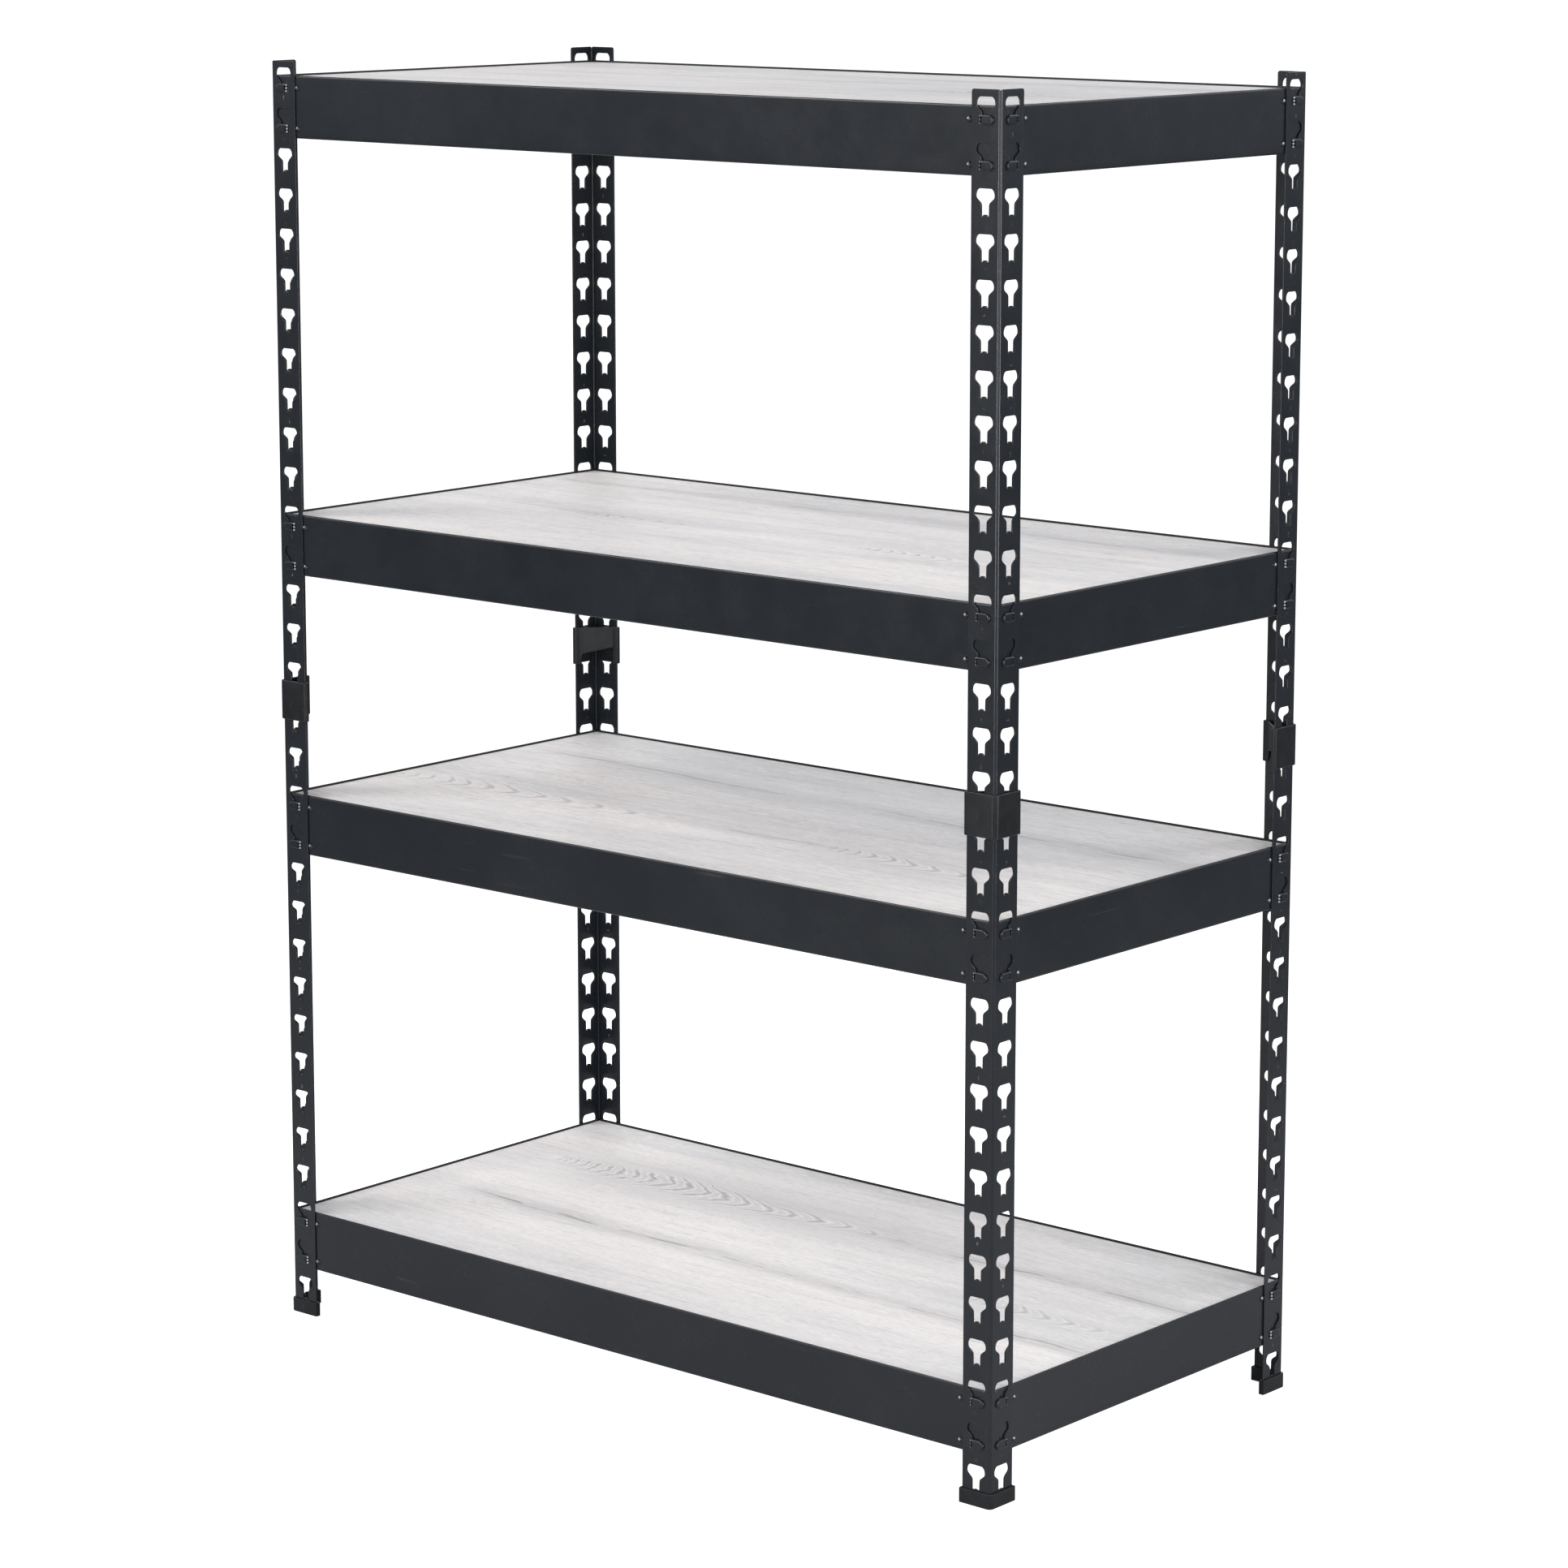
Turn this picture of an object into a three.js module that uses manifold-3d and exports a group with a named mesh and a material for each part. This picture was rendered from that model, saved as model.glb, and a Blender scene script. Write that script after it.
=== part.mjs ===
// Boltless steel shelving: four levels, two-piece keyholed corner posts, hook-in beams and loose boards.
// Millimetres, +Z up. The origin is on the floor, midway between the four posts.
import * as THREE from "three";
import { mergeVertices } from "three/addons/utils/BufferGeometryUtils.js";
import Module from "manifold-3d";

const wasm = await Module();
wasm.setup();

// Driving dimensions
const WIDTH = 1219; // along X, outer face to outer face of the posts
const DEPTH = 616; // along Y, outer face to outer face of the posts
const FIT_GAP = 0.3; // clearance kept between neighbouring pieces
const CUT_MARGIN = 1; // how far a cutter reaches past the surface that it cuts

// Posts: steel angle, two halves end to end
const FLANGE = 43.2;
const POST_SHEET = 1.8;
const POST_BEND = 3.6;
const POST_LENGTH = 849;
const POST_CORNER_CUT = 3;

// Keyholes, one column in each flange
const PITCH = 52.8;
const HOLES = 16;
const FIRST_HOLE_TOP = 8.7;
const HOLE_INSET = 22.4;
const HOLE_HEIGHT = 32.5;
const HEAD_TOP_HALF_WIDTH = 8.2;
const HEAD_HALF_WIDTH = 13.7;
const HEAD_WIDEST_DEPTH = 8.2;
const SHOULDER_HALF_WIDTH = 12.4;
const SHOULDER_DEPTH = 12;
const NECK_DEPTH = 17.8;
const SLOT_HALF_WIDTH = 5.5;

// Moulded feet and the couplers that join the post halves
const WALL = 2.8;
const FOOT_HEIGHT = 19;
const FOOT_BASE = 2.5;
const COUPLER_HEIGHT = PITCH;
const STOP_HEIGHT = 6;
const STOP_OVERLAP = 0.5; // how far the stop runs into the sleeve's outer walls
const WEB_NOTCH = 18;

// Beams: folded sheet with a board ledge inside and a return lip at the bottom
const BEAM_HEIGHT = 82;
const BEAM_SHEET = 1.5;
const BEAM_END = 8;
const LEDGE_REACH = 18;
const LIP_REACH = 14;
const RIM_ROUND = 0.6;

// Lugs hook into the keyholes, and stop dimples bear on the free edges of the flanges
const LUG_DROP = 26.5;
const LOWER_LUG = 12.7;
const NECK_HALF_WIDTH = 4.5;
const NECK_HALF_HEIGHT = 5.5;
const LUG_HALF_HEIGHT = 6;
const LUG_TAIL = 5;
const LUG_REACH = 13;
const LUG_SHOULDER = 7.5;
const LUG_TIP_HALF_HEIGHT = 2.6;
const LUG_SHEET = 2.4;
const LUG_CLEARANCE = 0.6;
const DIMPLE_RADIUS = 4;
const DIMPLE_TOP_RADIUS = 2;
const DIMPLE_PROUD = 0.5;
const DIMPLE_SIDES = 6;

// Boards
const BOARD_THICKNESS = 12;
const BOARD_RECESS = 2.5;
const BOARD_CLEARANCE = 1;
const BOARD_EDGE = 0.5;

// Heights and places worked out from them
const LOWER_POST_Z = FOOT_BASE + FIT_GAP;
const LOWER_TOP = LOWER_POST_Z + POST_LENGTH;
const SPLICE_GAP = STOP_HEIGHT + 2 * FIT_GAP;
const UPPER_POST_Z = LOWER_TOP + SPLICE_GAP;
const UPPER_TOP = UPPER_POST_Z + POST_LENGTH;
const COUPLER_Z = LOWER_TOP + SPLICE_GAP / 2 - COUPLER_HEIGHT / 2;
const WEB_FACE = POST_SHEET + FIT_GAP;
const RIM_BACK = WEB_FACE + 2 * BEAM_SHEET;
const BOARD_Z = BEAM_HEIGHT - BOARD_RECESS - BOARD_THICKNESS;
const LEDGE_TOP = BOARD_Z - FIT_GAP;
const LEDGE_BOTTOM = LEDGE_TOP - BEAM_SHEET;
const SIDE_TRIM = LEDGE_REACH + 2 * FIT_GAP;
const DIMPLE_INSET = FLANGE + DIMPLE_RADIUS + FIT_GAP;

// The keyhole that takes each level's upper lug, counted down from the top of its post half
const LEVELS = [
  { name: "level_1", postTop: LOWER_TOP, hole: 13 },
  { name: "level_2", postTop: LOWER_TOP, hole: 2 },
  { name: "level_3", postTop: UPPER_TOP, hole: 11 },
  { name: "level_4", postTop: UPPER_TOP, hole: 0 },
];

// The corners, each turned so that a piece drawn with its legs along +X and +Y points inwards
const CORNERS = [
  { name: "front_left", x: -WIDTH / 2, y: -DEPTH / 2, turn: 0 },
  { name: "front_right", x: WIDTH / 2, y: -DEPTH / 2, turn: Math.PI / 2 },
  { name: "rear_right", x: WIDTH / 2, y: DEPTH / 2, turn: Math.PI },
  { name: "rear_left", x: -WIDTH / 2, y: DEPTH / 2, turn: -Math.PI / 2 },
];

const STEEL = { color: 0x34373b, roughness: 0.42, metalness: 0.35 };
const PLASTIC = { color: 0x17181a, roughness: 0.5, metalness: 0 };
const LAMINATE = { color: 0xb8b2a8, roughness: 0.55, metalness: 0 };

// A closed geometry as a manifold solid
function solidOf(geometry) {
  const bare = geometry.clone();
  bare.deleteAttribute("normal");
  bare.deleteAttribute("uv");
  const merged = mergeVertices(bare, 1e-4);
  const vertProperties = new Float32Array(merged.attributes.position.array);
  const triVerts = new Uint32Array(merged.index.array);
  return new wasm.Manifold(new wasm.Mesh({ numProp: 3, vertProperties, triVerts }));
}

// A manifold solid as a flat-shaded geometry
function geometryOf(solid) {
  const { vertProperties, triVerts } = solid.getMesh();
  const indexed = new THREE.BufferGeometry();
  indexed.setAttribute("position", new THREE.BufferAttribute(vertProperties, 3));
  indexed.setIndex(new THREE.BufferAttribute(triVerts, 1));
  const geometry = indexed.toNonIndexed();
  geometry.computeVertexNormals();
  return geometry;
}

function joined(solids) {
  return solids.reduce((whole, solid) => whole.add(solid));
}

function outlineShape(points) {
  return new THREE.Shape(points.map(([x, y]) => new THREE.Vector2(x, y)));
}

// A flat outline in X and Y, raised from z to z + height
function upright(shape, z, height, curveSegments = 4) {
  const geometry = new THREE.ExtrudeGeometry(shape, {
    depth: height,
    bevelEnabled: false,
    curveSegments,
  });
  geometry.translate(0, 0, z);
  return geometry;
}

// An outline in X and Z, given thickness along Y from near to far
function facing(points, near, far) {
  const geometry = new THREE.ExtrudeGeometry(outlineShape(points), {
    depth: far - near,
    bevelEnabled: false,
  });
  geometry.rotateX(Math.PI / 2);
  geometry.translate(0, far, 0);
  return geometry;
}

// An outline in Y and Z, run along X and centred on x = 0
function run(points, length) {
  const geometry = new THREE.ExtrudeGeometry(outlineShape(points), {
    depth: length,
    bevelEnabled: false,
  });
  geometry.rotateX(Math.PI / 2);
  geometry.rotateZ(Math.PI / 2);
  geometry.translate(-length / 2, 0, 0);
  return geometry;
}

function box(x0, x1, y0, y1, z0, z1) {
  const geometry = new THREE.BoxGeometry(x1 - x0, y1 - y0, z1 - z0);
  geometry.translate((x0 + x1) / 2, (y0 + y1) / 2, (z0 + z1) / 2);
  return geometry;
}

// An L outline with its outer corner at (-grow, -grow), legs along +X and +Y and a rounded bend
function angleShape(grow, reach, back, bend) {
  const shape = new THREE.Shape();
  shape.moveTo(reach, -grow);
  shape.lineTo(reach, back);
  shape.lineTo(back, back);
  shape.lineTo(back, reach);
  shape.lineTo(-grow, reach);
  shape.lineTo(-grow, bend - grow);
  shape.absarc(bend - grow, bend - grow, bend, Math.PI, 1.5 * Math.PI, false);
  return shape;
}

// Keyhole outline in X and Z: a wide head above, tapering into a straight slot
function keyholeOutline(x, top) {
  const side = [];
  for (const angle of [0, Math.PI / 4, Math.PI / 2]) {
    const across = HEAD_TOP_HALF_WIDTH + (HEAD_HALF_WIDTH - HEAD_TOP_HALF_WIDTH) * Math.sin(angle);
    side.push([across, HEAD_WIDEST_DEPTH * (Math.cos(angle) - 1)]);
  }
  side.push([SHOULDER_HALF_WIDTH, -SHOULDER_DEPTH]);
  side.push([SLOT_HALF_WIDTH, -NECK_DEPTH]);
  side.push([SLOT_HALF_WIDTH, -HOLE_HEIGHT]);
  const right = side.map(([dx, dz]) => [x + dx, top + dz]);
  const left = side.map(([dx, dz]) => [x - dx, top + dz]);
  return [...left, ...right.reverse()];
}

// One half post, its lower end at z = 0
function postSolid() {
  let post = solidOf(upright(angleShape(0, FLANGE, POST_SHEET, POST_BEND), 0, POST_LENGTH));
  const cuts = [];
  for (let hole = 0; hole < HOLES; hole += 1) {
    const top = POST_LENGTH - FIRST_HOLE_TOP - hole * PITCH;
    const outline = keyholeOutline(HOLE_INSET, top);
    cuts.push(facing(outline, -CUT_MARGIN, POST_SHEET + CUT_MARGIN));
  }
  // The free corner of the flange is cut off at both ends
  for (const [z, inwards] of [[POST_LENGTH, -1], [0, 1]]) {
    const outline = [
      [FLANGE - POST_CORNER_CUT, z - inwards * CUT_MARGIN],
      [FLANGE - POST_CORNER_CUT, z],
      [FLANGE, z + inwards * POST_CORNER_CUT],
      [FLANGE + CUT_MARGIN, z + inwards * POST_CORNER_CUT],
      [FLANGE + CUT_MARGIN, z - inwards * CUT_MARGIN],
    ];
    cuts.push(facing(outline, -CUT_MARGIN, POST_SHEET + CUT_MARGIN));
  }
  for (const cut of cuts) {
    post = post.subtract(solidOf(cut));
    const turned = cut.clone();
    turned.rotateZ(Math.PI / 2);
    turned.translate(POST_SHEET, 0, 0);
    post = post.subtract(solidOf(turned));
  }
  return post;
}

// A cup that holds the lower end of a post, with walls on both sides of each flange
function footSolid() {
  const grow = WALL + FIT_GAP;
  const back = POST_SHEET + grow;
  const bend = POST_BEND + grow;
  const block = solidOf(upright(angleShape(grow, FLANGE + grow, back, bend), 0, FOOT_HEIGHT));
  const slotShape = angleShape(FIT_GAP, FLANGE + FIT_GAP, POST_SHEET + FIT_GAP, POST_BEND);
  const slot = solidOf(upright(slotShape, FOOT_BASE, FOOT_HEIGHT));
  return block.subtract(slot);
}

// Outline of the coupler: an L closed across the inside corner by a straight diagonal
function couplerShape(grow, bend) {
  const reach = FLANGE + grow;
  const back = POST_SHEET + grow;
  const shape = new THREE.Shape();
  shape.moveTo(reach, -grow);
  shape.lineTo(reach, back);
  shape.lineTo(back, reach);
  shape.lineTo(-grow, reach);
  shape.lineTo(-grow, bend - grow);
  shape.absarc(bend - grow, bend - grow, bend, Math.PI, 1.5 * Math.PI, false);
  return shape;
}

// A sleeve for the ends of both post halves, which meet on the stop inside it
function couplerSolid() {
  const grow = WALL + FIT_GAP;
  const back = POST_SHEET + grow;
  const outer = solidOf(upright(couplerShape(grow, POST_BEND + grow), 0, COUPLER_HEIGHT));
  const boreHeight = COUPLER_HEIGHT + 2 * CUT_MARGIN;
  const bore = solidOf(upright(couplerShape(FIT_GAP, POST_BEND), -CUT_MARGIN, boreHeight));
  const stopShape = angleShape(STOP_OVERLAP, FLANGE + STOP_OVERLAP, POST_SHEET, POST_BEND);
  const stopZ = (COUPLER_HEIGHT - STOP_HEIGHT) / 2;
  const stop = solidOf(upright(stopShape, stopZ, STOP_HEIGHT));
  // The diagonal web stops short of the sleeve's lower end
  const notch = solidOf(box(back, FLANGE, back, FLANGE, -CUT_MARGIN, WEB_NOTCH));
  return outer.subtract(bore).add(stop).subtract(notch);
}

// One lug: a neck through the slot and a rounded tongue that hooks over the flange towards the corner
function lugSolid(x, z, towards) {
  const neck = box(
    x - NECK_HALF_WIDTH,
    x + NECK_HALF_WIDTH,
    -LUG_CLEARANCE - LUG_SHEET / 2,
    WEB_FACE + BEAM_SHEET / 2,
    z - NECK_HALF_HEIGHT,
    z + NECK_HALF_HEIGHT,
  );
  const upper = [
    [-LUG_TAIL, LUG_HALF_HEIGHT],
    [LUG_SHOULDER, LUG_HALF_HEIGHT],
    [LUG_REACH, LUG_TIP_HALF_HEIGHT],
  ];
  const lower = upper.map(([dx, dz]) => [dx, -dz]).reverse();
  const outline = [...upper, ...lower].map(([dx, dz]) => [x + towards * dx, z + dz]);
  const tongue = facing(outline, -LUG_CLEARANCE - LUG_SHEET, -LUG_CLEARANCE);
  return solidOf(neck).add(solidOf(tongue));
}

// A stop dimple, pressed out of the web beside the post's flange
function dimpleSolid(x, z) {
  const depth = DIMPLE_PROUD + WEB_FACE + BEAM_SHEET / 2;
  const dimple = new THREE.CylinderGeometry(
    DIMPLE_RADIUS,
    DIMPLE_TOP_RADIUS,
    depth,
    DIMPLE_SIDES,
  );
  dimple.translate(x, depth / 2 - DIMPLE_PROUD, z);
  return solidOf(dimple);
}

// A beam between two posts whose outer faces are span apart, its outer side towards -Y.
// Its bottom is at z = 0. Its ledge and lip stop short of each post's outer face by trim.
function beamSolid(span, trim) {
  const length = span - 2 * BEAM_END;
  const innerLength = span - 2 * trim;
  const inside = WEB_FACE + BEAM_SHEET / 2;
  const rimDepth = BEAM_SHEET / 2;
  const web = [
    [WEB_FACE, 0],
    [WEB_FACE + BEAM_SHEET, 0],
    [WEB_FACE + BEAM_SHEET, LEDGE_BOTTOM + rimDepth],
    [RIM_BACK, LEDGE_BOTTOM + rimDepth],
    [RIM_BACK, BEAM_HEIGHT - RIM_ROUND],
    [RIM_BACK - RIM_ROUND, BEAM_HEIGHT],
    [WEB_FACE + RIM_ROUND, BEAM_HEIGHT],
    [WEB_FACE, BEAM_HEIGHT - RIM_ROUND],
  ];
  const ledge = [
    [inside, LEDGE_BOTTOM],
    [LEDGE_REACH, LEDGE_BOTTOM],
    [LEDGE_REACH, LEDGE_TOP],
    [inside, LEDGE_TOP],
  ];
  const lip = [
    [inside, 0],
    [LIP_REACH, 0],
    [LIP_REACH, BEAM_SHEET],
    [inside, BEAM_SHEET],
  ];
  const pieces = [solidOf(run(web, length)), solidOf(run(ledge, innerLength))];
  pieces.push(solidOf(run(lip, innerLength)));
  for (const towards of [-1, 1]) {
    for (const z of [LOWER_LUG, LOWER_LUG + PITCH]) {
      pieces.push(lugSolid(towards * (span / 2 - HOLE_INSET), z, towards));
      pieces.push(dimpleSolid(towards * (span / 2 - DIMPLE_INSET), z));
    }
  }
  return joined(pieces);
}

// A board with softened edges, its underside at z = 0
function boardGeometry() {
  const halfWidth = WIDTH / 2 - RIM_BACK - BOARD_CLEARANCE;
  const halfDepth = DEPTH / 2 - RIM_BACK - BOARD_CLEARANCE;
  const inner = [halfWidth - BOARD_EDGE, halfDepth - BOARD_EDGE];
  const outline = outlineShape([
    [-inner[0], -inner[1]],
    [inner[0], -inner[1]],
    [inner[0], inner[1]],
    [-inner[0], inner[1]],
  ]);
  const geometry = new THREE.ExtrudeGeometry(outline, {
    depth: BOARD_THICKNESS - 2 * BOARD_EDGE,
    bevelThickness: BOARD_EDGE,
    bevelSize: BOARD_EDGE,
    bevelSegments: 1,
  });
  geometry.translate(0, 0, BOARD_EDGE);
  return geometry;
}

const shelving = new THREE.Group();

function place(parent, name, geometry, look, position, turn = 0) {
  const mesh = new THREE.Mesh(geometry, new THREE.MeshStandardMaterial(look));
  mesh.name = name;
  mesh.position.set(...position);
  mesh.rotation.z = turn;
  parent.add(mesh);
}

// Corner pieces: foot, lower post, coupler and upper post
const postGeometry = geometryOf(postSolid());
const footGeometry = geometryOf(footSolid());
const couplerGeometry = geometryOf(couplerSolid());
for (const corner of CORNERS) {
  const stack = new THREE.Group();
  stack.position.set(corner.x, corner.y, 0);
  stack.rotation.z = corner.turn;
  place(stack, `${corner.name}_foot`, footGeometry, PLASTIC, [0, 0, 0]);
  place(stack, `${corner.name}_lower_post`, postGeometry, STEEL, [0, 0, LOWER_POST_Z]);
  place(stack, `${corner.name}_coupler`, couplerGeometry, PLASTIC, [0, 0, COUPLER_Z]);
  place(stack, `${corner.name}_upper_post`, postGeometry, STEEL, [0, 0, UPPER_POST_Z]);
  shelving.add(stack);
}

// Each level: two long beams, two side beams and a board
const longBeamGeometry = geometryOf(beamSolid(WIDTH, BEAM_END));
const sideBeamGeometry = geometryOf(beamSolid(DEPTH, SIDE_TRIM));
const board = boardGeometry();
for (const level of LEVELS) {
  const upperLug = level.postTop - FIRST_HOLE_TOP - level.hole * PITCH - LUG_DROP;
  const storey = new THREE.Group();
  storey.position.z = upperLug - PITCH - LOWER_LUG;
  const beams = [
    ["front_beam", longBeamGeometry, 0, -DEPTH / 2, 0],
    ["rear_beam", longBeamGeometry, 0, DEPTH / 2, Math.PI],
    ["left_beam", sideBeamGeometry, -WIDTH / 2, 0, -Math.PI / 2],
    ["right_beam", sideBeamGeometry, WIDTH / 2, 0, Math.PI / 2],
  ];
  for (const [side, geometry, x, y, turn] of beams) {
    place(storey, `${level.name}_${side}`, geometry, STEEL, [x, y, 0], turn);
  }
  place(storey, `${level.name}_board`, board, LAMINATE, [0, 0, BOARD_Z]);
  shelving.add(storey);
}

export default shelving;
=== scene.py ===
"""Looks for the boltless steel shelving: detailed posts, beams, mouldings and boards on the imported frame.

Lengths are written in millimetres, as in the CAD, and turned into metres where a mesh is made.
"""
import math

import bmesh
import bpy
from mathutils import Matrix, Vector
from mathutils.geometry import delaunay_2d_cdt


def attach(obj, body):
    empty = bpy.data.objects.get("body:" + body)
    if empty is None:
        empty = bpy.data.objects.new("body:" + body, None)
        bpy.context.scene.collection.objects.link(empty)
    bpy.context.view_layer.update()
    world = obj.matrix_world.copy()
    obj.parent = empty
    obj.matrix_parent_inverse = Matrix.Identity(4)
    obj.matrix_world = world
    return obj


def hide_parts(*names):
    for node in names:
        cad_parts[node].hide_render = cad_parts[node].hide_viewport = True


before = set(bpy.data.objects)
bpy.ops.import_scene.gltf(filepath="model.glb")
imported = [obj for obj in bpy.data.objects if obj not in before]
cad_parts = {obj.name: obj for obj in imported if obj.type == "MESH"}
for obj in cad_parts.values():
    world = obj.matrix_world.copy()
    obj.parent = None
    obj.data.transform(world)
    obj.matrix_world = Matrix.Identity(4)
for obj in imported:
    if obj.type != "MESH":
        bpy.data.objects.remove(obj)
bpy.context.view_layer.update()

MM = 0.001
SMALL_FACE = 40 * MM * MM
MERGE_DISTANCE = 0.004
SPECK_LENGTH = 0.002
SHARP_ANGLE = 38
TOUCH = 1e-4
WEAR_STARTS, WEAR_FULL = math.radians(28), math.radians(45)

# The shelving's own sizes, the same as the CAD's
WIDTH = 1219
DEPTH = 616
GAP = 0.3
FLANGE = 43.2
SHEET = 1.8
BEND = 3.6
POST_LENGTH = 849
PITCH = 52.8
HOLES = 16
FIRST_HOLE_TOP = 8.7
HOLE_INSET = 22.4
HOLE_HEIGHT = 32.5
WALL = 2.8
FOOT_HEIGHT = 19
FOOT_BASE = 2.5
STOP_HEIGHT = 6
BEAM_HEIGHT = 82
BEAM_SHEET = 1.5
BEAM_END = 8
HEM_ROUND = 1.9
HEM_DROP = 2.8
LEDGE_REACH = 18
LIP_REACH = 14
LUG_DROP = 26.5
LOWER_LUG = 12.7
DIMPLE_OUT = 4.3
WEB_FACE = SHEET + GAP
RIM_BACK = WEB_FACE + 2 * BEAM_SHEET
BOARD_THICKNESS = 12
BOARD_RECESS = 2.5
BOARD_Z = BEAM_HEIGHT - BOARD_RECESS - BOARD_THICKNESS
BOARD_CLEARANCE = 1
LEDGE_TOP = BOARD_Z - GAP
SIDE_TRIM = LEDGE_REACH + 2 * GAP
LOWER_POST_Z = FOOT_BASE + GAP
LOWER_TOP = LOWER_POST_Z + POST_LENGTH
SPLICE_GAP = STOP_HEIGHT + 2 * GAP
UPPER_POST_Z = LOWER_TOP + SPLICE_GAP
UPPER_TOP = UPPER_POST_Z + POST_LENGTH
COUPLER_HEIGHT = PITCH
COUPLER_Z = LOWER_TOP + SPLICE_GAP / 2 - COUPLER_HEIGHT / 2
LEVELS = [(1, LOWER_TOP, 13), (2, LOWER_TOP, 2), (3, UPPER_TOP, 11), (4, UPPER_TOP, 0)]
CORNERS = [
    ("front_left", -WIDTH / 2, -DEPTH / 2, 0),
    ("front_right", WIDTH / 2, -DEPTH / 2, 90),
    ("rear_right", WIDTH / 2, DEPTH / 2, 180),
    ("rear_left", -WIDTH / 2, DEPTH / 2, -90),
]


# ---------------------------------------------------------------- surfaces put together from polygons


class Shell:
    """Polygons in millimetres. Points that meet become one vertex when the mesh is made."""

    def __init__(self):
        self.points = []
        self.faces = []
        # Spots of rubbed coat and of painted highlight, each as (middle, radius, strength)
        self.wear_and_highlight = []

    def face(self, points):
        first = len(self.points)
        self.points.extend(points)
        self.faces.append(list(range(first, first + len(points))))

    def band(self, one, other, closed=True):
        """Quads between two rows of points of the same length."""
        count = len(one)
        for i in range(count if closed else count - 1):
            j = (i + 1) % count
            self.face([one[i], one[j], other[j], other[i]])

    def rows(self, rows, closed=True):
        for one, other in zip(rows, rows[1:]):
            self.band(one, other, closed)

    def flat(self, outline, holes, place):
        """A flat region with holes, in triangles. place turns a point of the plane into one in space."""
        for triangle in triangles(outline, holes):
            self.face([place(*point) for point in triangle])

    def mesh(self, name):
        made = bpy.data.meshes.new(name)
        work = bmesh.new()
        vertices = [work.verts.new([c * MM for c in p]) for p in self.points]
        for face in self.faces:
            work.faces.new([vertices[i] for i in face])
        bmesh.ops.remove_doubles(work, verts=work.verts, dist=MERGE_DISTANCE * MM)
        bmesh.ops.dissolve_degenerate(work, edges=work.edges, dist=SPECK_LENGTH * MM)
        bmesh.ops.recalc_face_normals(work, faces=work.faces)
        limit = math.radians(SHARP_ANGLE)
        for edge in work.edges:
            edge.smooth = len(edge.link_faces) == 2 and edge.calc_face_angle(0) < limit
        for face in work.faces:
            face.smooth = True
        work.to_mesh(made)
        edge = made.attributes.new("edge", "FLOAT", "POINT")
        # Per vertex: how strong the spots of rubbed coat and painted highlight are
        wear_and_highlight = made.attributes.new("wear_and_highlight", "FLOAT", "POINT")
        for vertex in work.verts:
            edge.data[vertex.index].value = edge_value(vertex)
            wear_and_highlight.data[vertex.index].value = self.wear_and_highlight_value(vertex.co / MM)
        work.free()
        return made

    def wear_and_highlight_value(self, place):
        """How strong a spot of rubbed coat and painted highlight is, from 0 to 1: full well inside the spot,
        none a radius away.
        """
        found = 0
        for middle, radius, value in self.wear_and_highlight:
            away = (place - Vector(middle)).length / radius
            found = max(found, value * min(1, max(0, 2 - 2 * away)))
        return found


def edge_value(vertex):
    """How sharply the surface turns outwards at a vertex between small faces, from 0 to 1."""
    if max(face.calc_area() for face in vertex.link_faces) > SMALL_FACE:
        return 0
    turn = 0
    for edge in vertex.link_edges:
        if len(edge.link_faces) == 2:
            turn = max(turn, edge.calc_face_angle_signed(0))
    return min(1, max(0, (turn - WEAR_STARTS) / (WEAR_FULL - WEAR_STARTS)))


def inside(point, polygon):
    """Whether a point of the plane lies in a polygon."""
    x, y = point
    odd = False
    for (x0, y0), (x1, y1) in zip(polygon, polygon[1:] + polygon[:1]):
        if (y0 > y) != (y1 > y) and x < (x1 - x0) * (y - y0) / (y1 - y0) + x0:
            odd = not odd
    return odd


def triangles(outline, holes):
    """The triangles of a flat region, in the plane. Every edge of its loops is kept."""
    loops = [outline] + list(holes)
    points = []
    edges = []
    for loop in loops:
        first = len(points)
        points.extend(loop)
        edges.extend((first + i, first + (i + 1) % len(loop)) for i in range(len(loop)))
    done = delaunay_2d_cdt([Vector(p) for p in points], edges, [], 1, 1e-7)
    spots, faces, sources = done[0], done[2], done[3]
    kept = [points[source[0]] if source else tuple(spot) for spot, source in zip(spots, sources)]
    for face in faces:
        corners = [kept[i] for i in face]
        middle = (sum(p[0] for p in corners) / 3, sum(p[1] for p in corners) / 3)
        if inside(middle, outline) and not any(inside(middle, hole) for hole in holes):
            yield corners


def area(loop):
    """Signed area, positive for a loop that runs anticlockwise."""
    return sum(x0 * y1 - x1 * y0 for (x0, y0), (x1, y1) in zip(loop, loop[1:] + loop[:1])) / 2


def inset(loop, distance):
    """A loop moved to its left, which is inwards for one that runs anticlockwise."""
    moved = []
    for i, (x, y) in enumerate(loop):
        x0, y0 = loop[i - 1]
        x1, y1 = loop[(i + 1) % len(loop)]
        one = Vector((y0 - y, x - x0)).normalized()
        two = Vector((y - y1, x1 - x)).normalized()
        step = (one + two) / max(0.4, 1 + one.dot(two)) * distance
        moved.append((x + step.x, y + step.y))
    return moved


def arc(x, y, radius, start, end, steps):
    """Points of an arc, angles in degrees."""
    found = []
    for i in range(steps + 1):
        angle = math.radians(start + (end - start) * i / steps)
        found.append((x + radius * math.cos(angle), y + radius * math.sin(angle)))
    return found


def rim_profile(thickness, radius, steps=2):
    """Rounded edge of a sheet, as (inset, depth) from one face to the other."""
    near = []
    for i in range(steps + 1):
        angle = math.pi / 2 * i / steps
        near.append((radius * (1 - math.sin(angle)), radius * (1 - math.cos(angle))))
    return near + [(step, thickness - depth) for step, depth in reversed(near)]


# ---------------------------------------------------------------- posts


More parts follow.
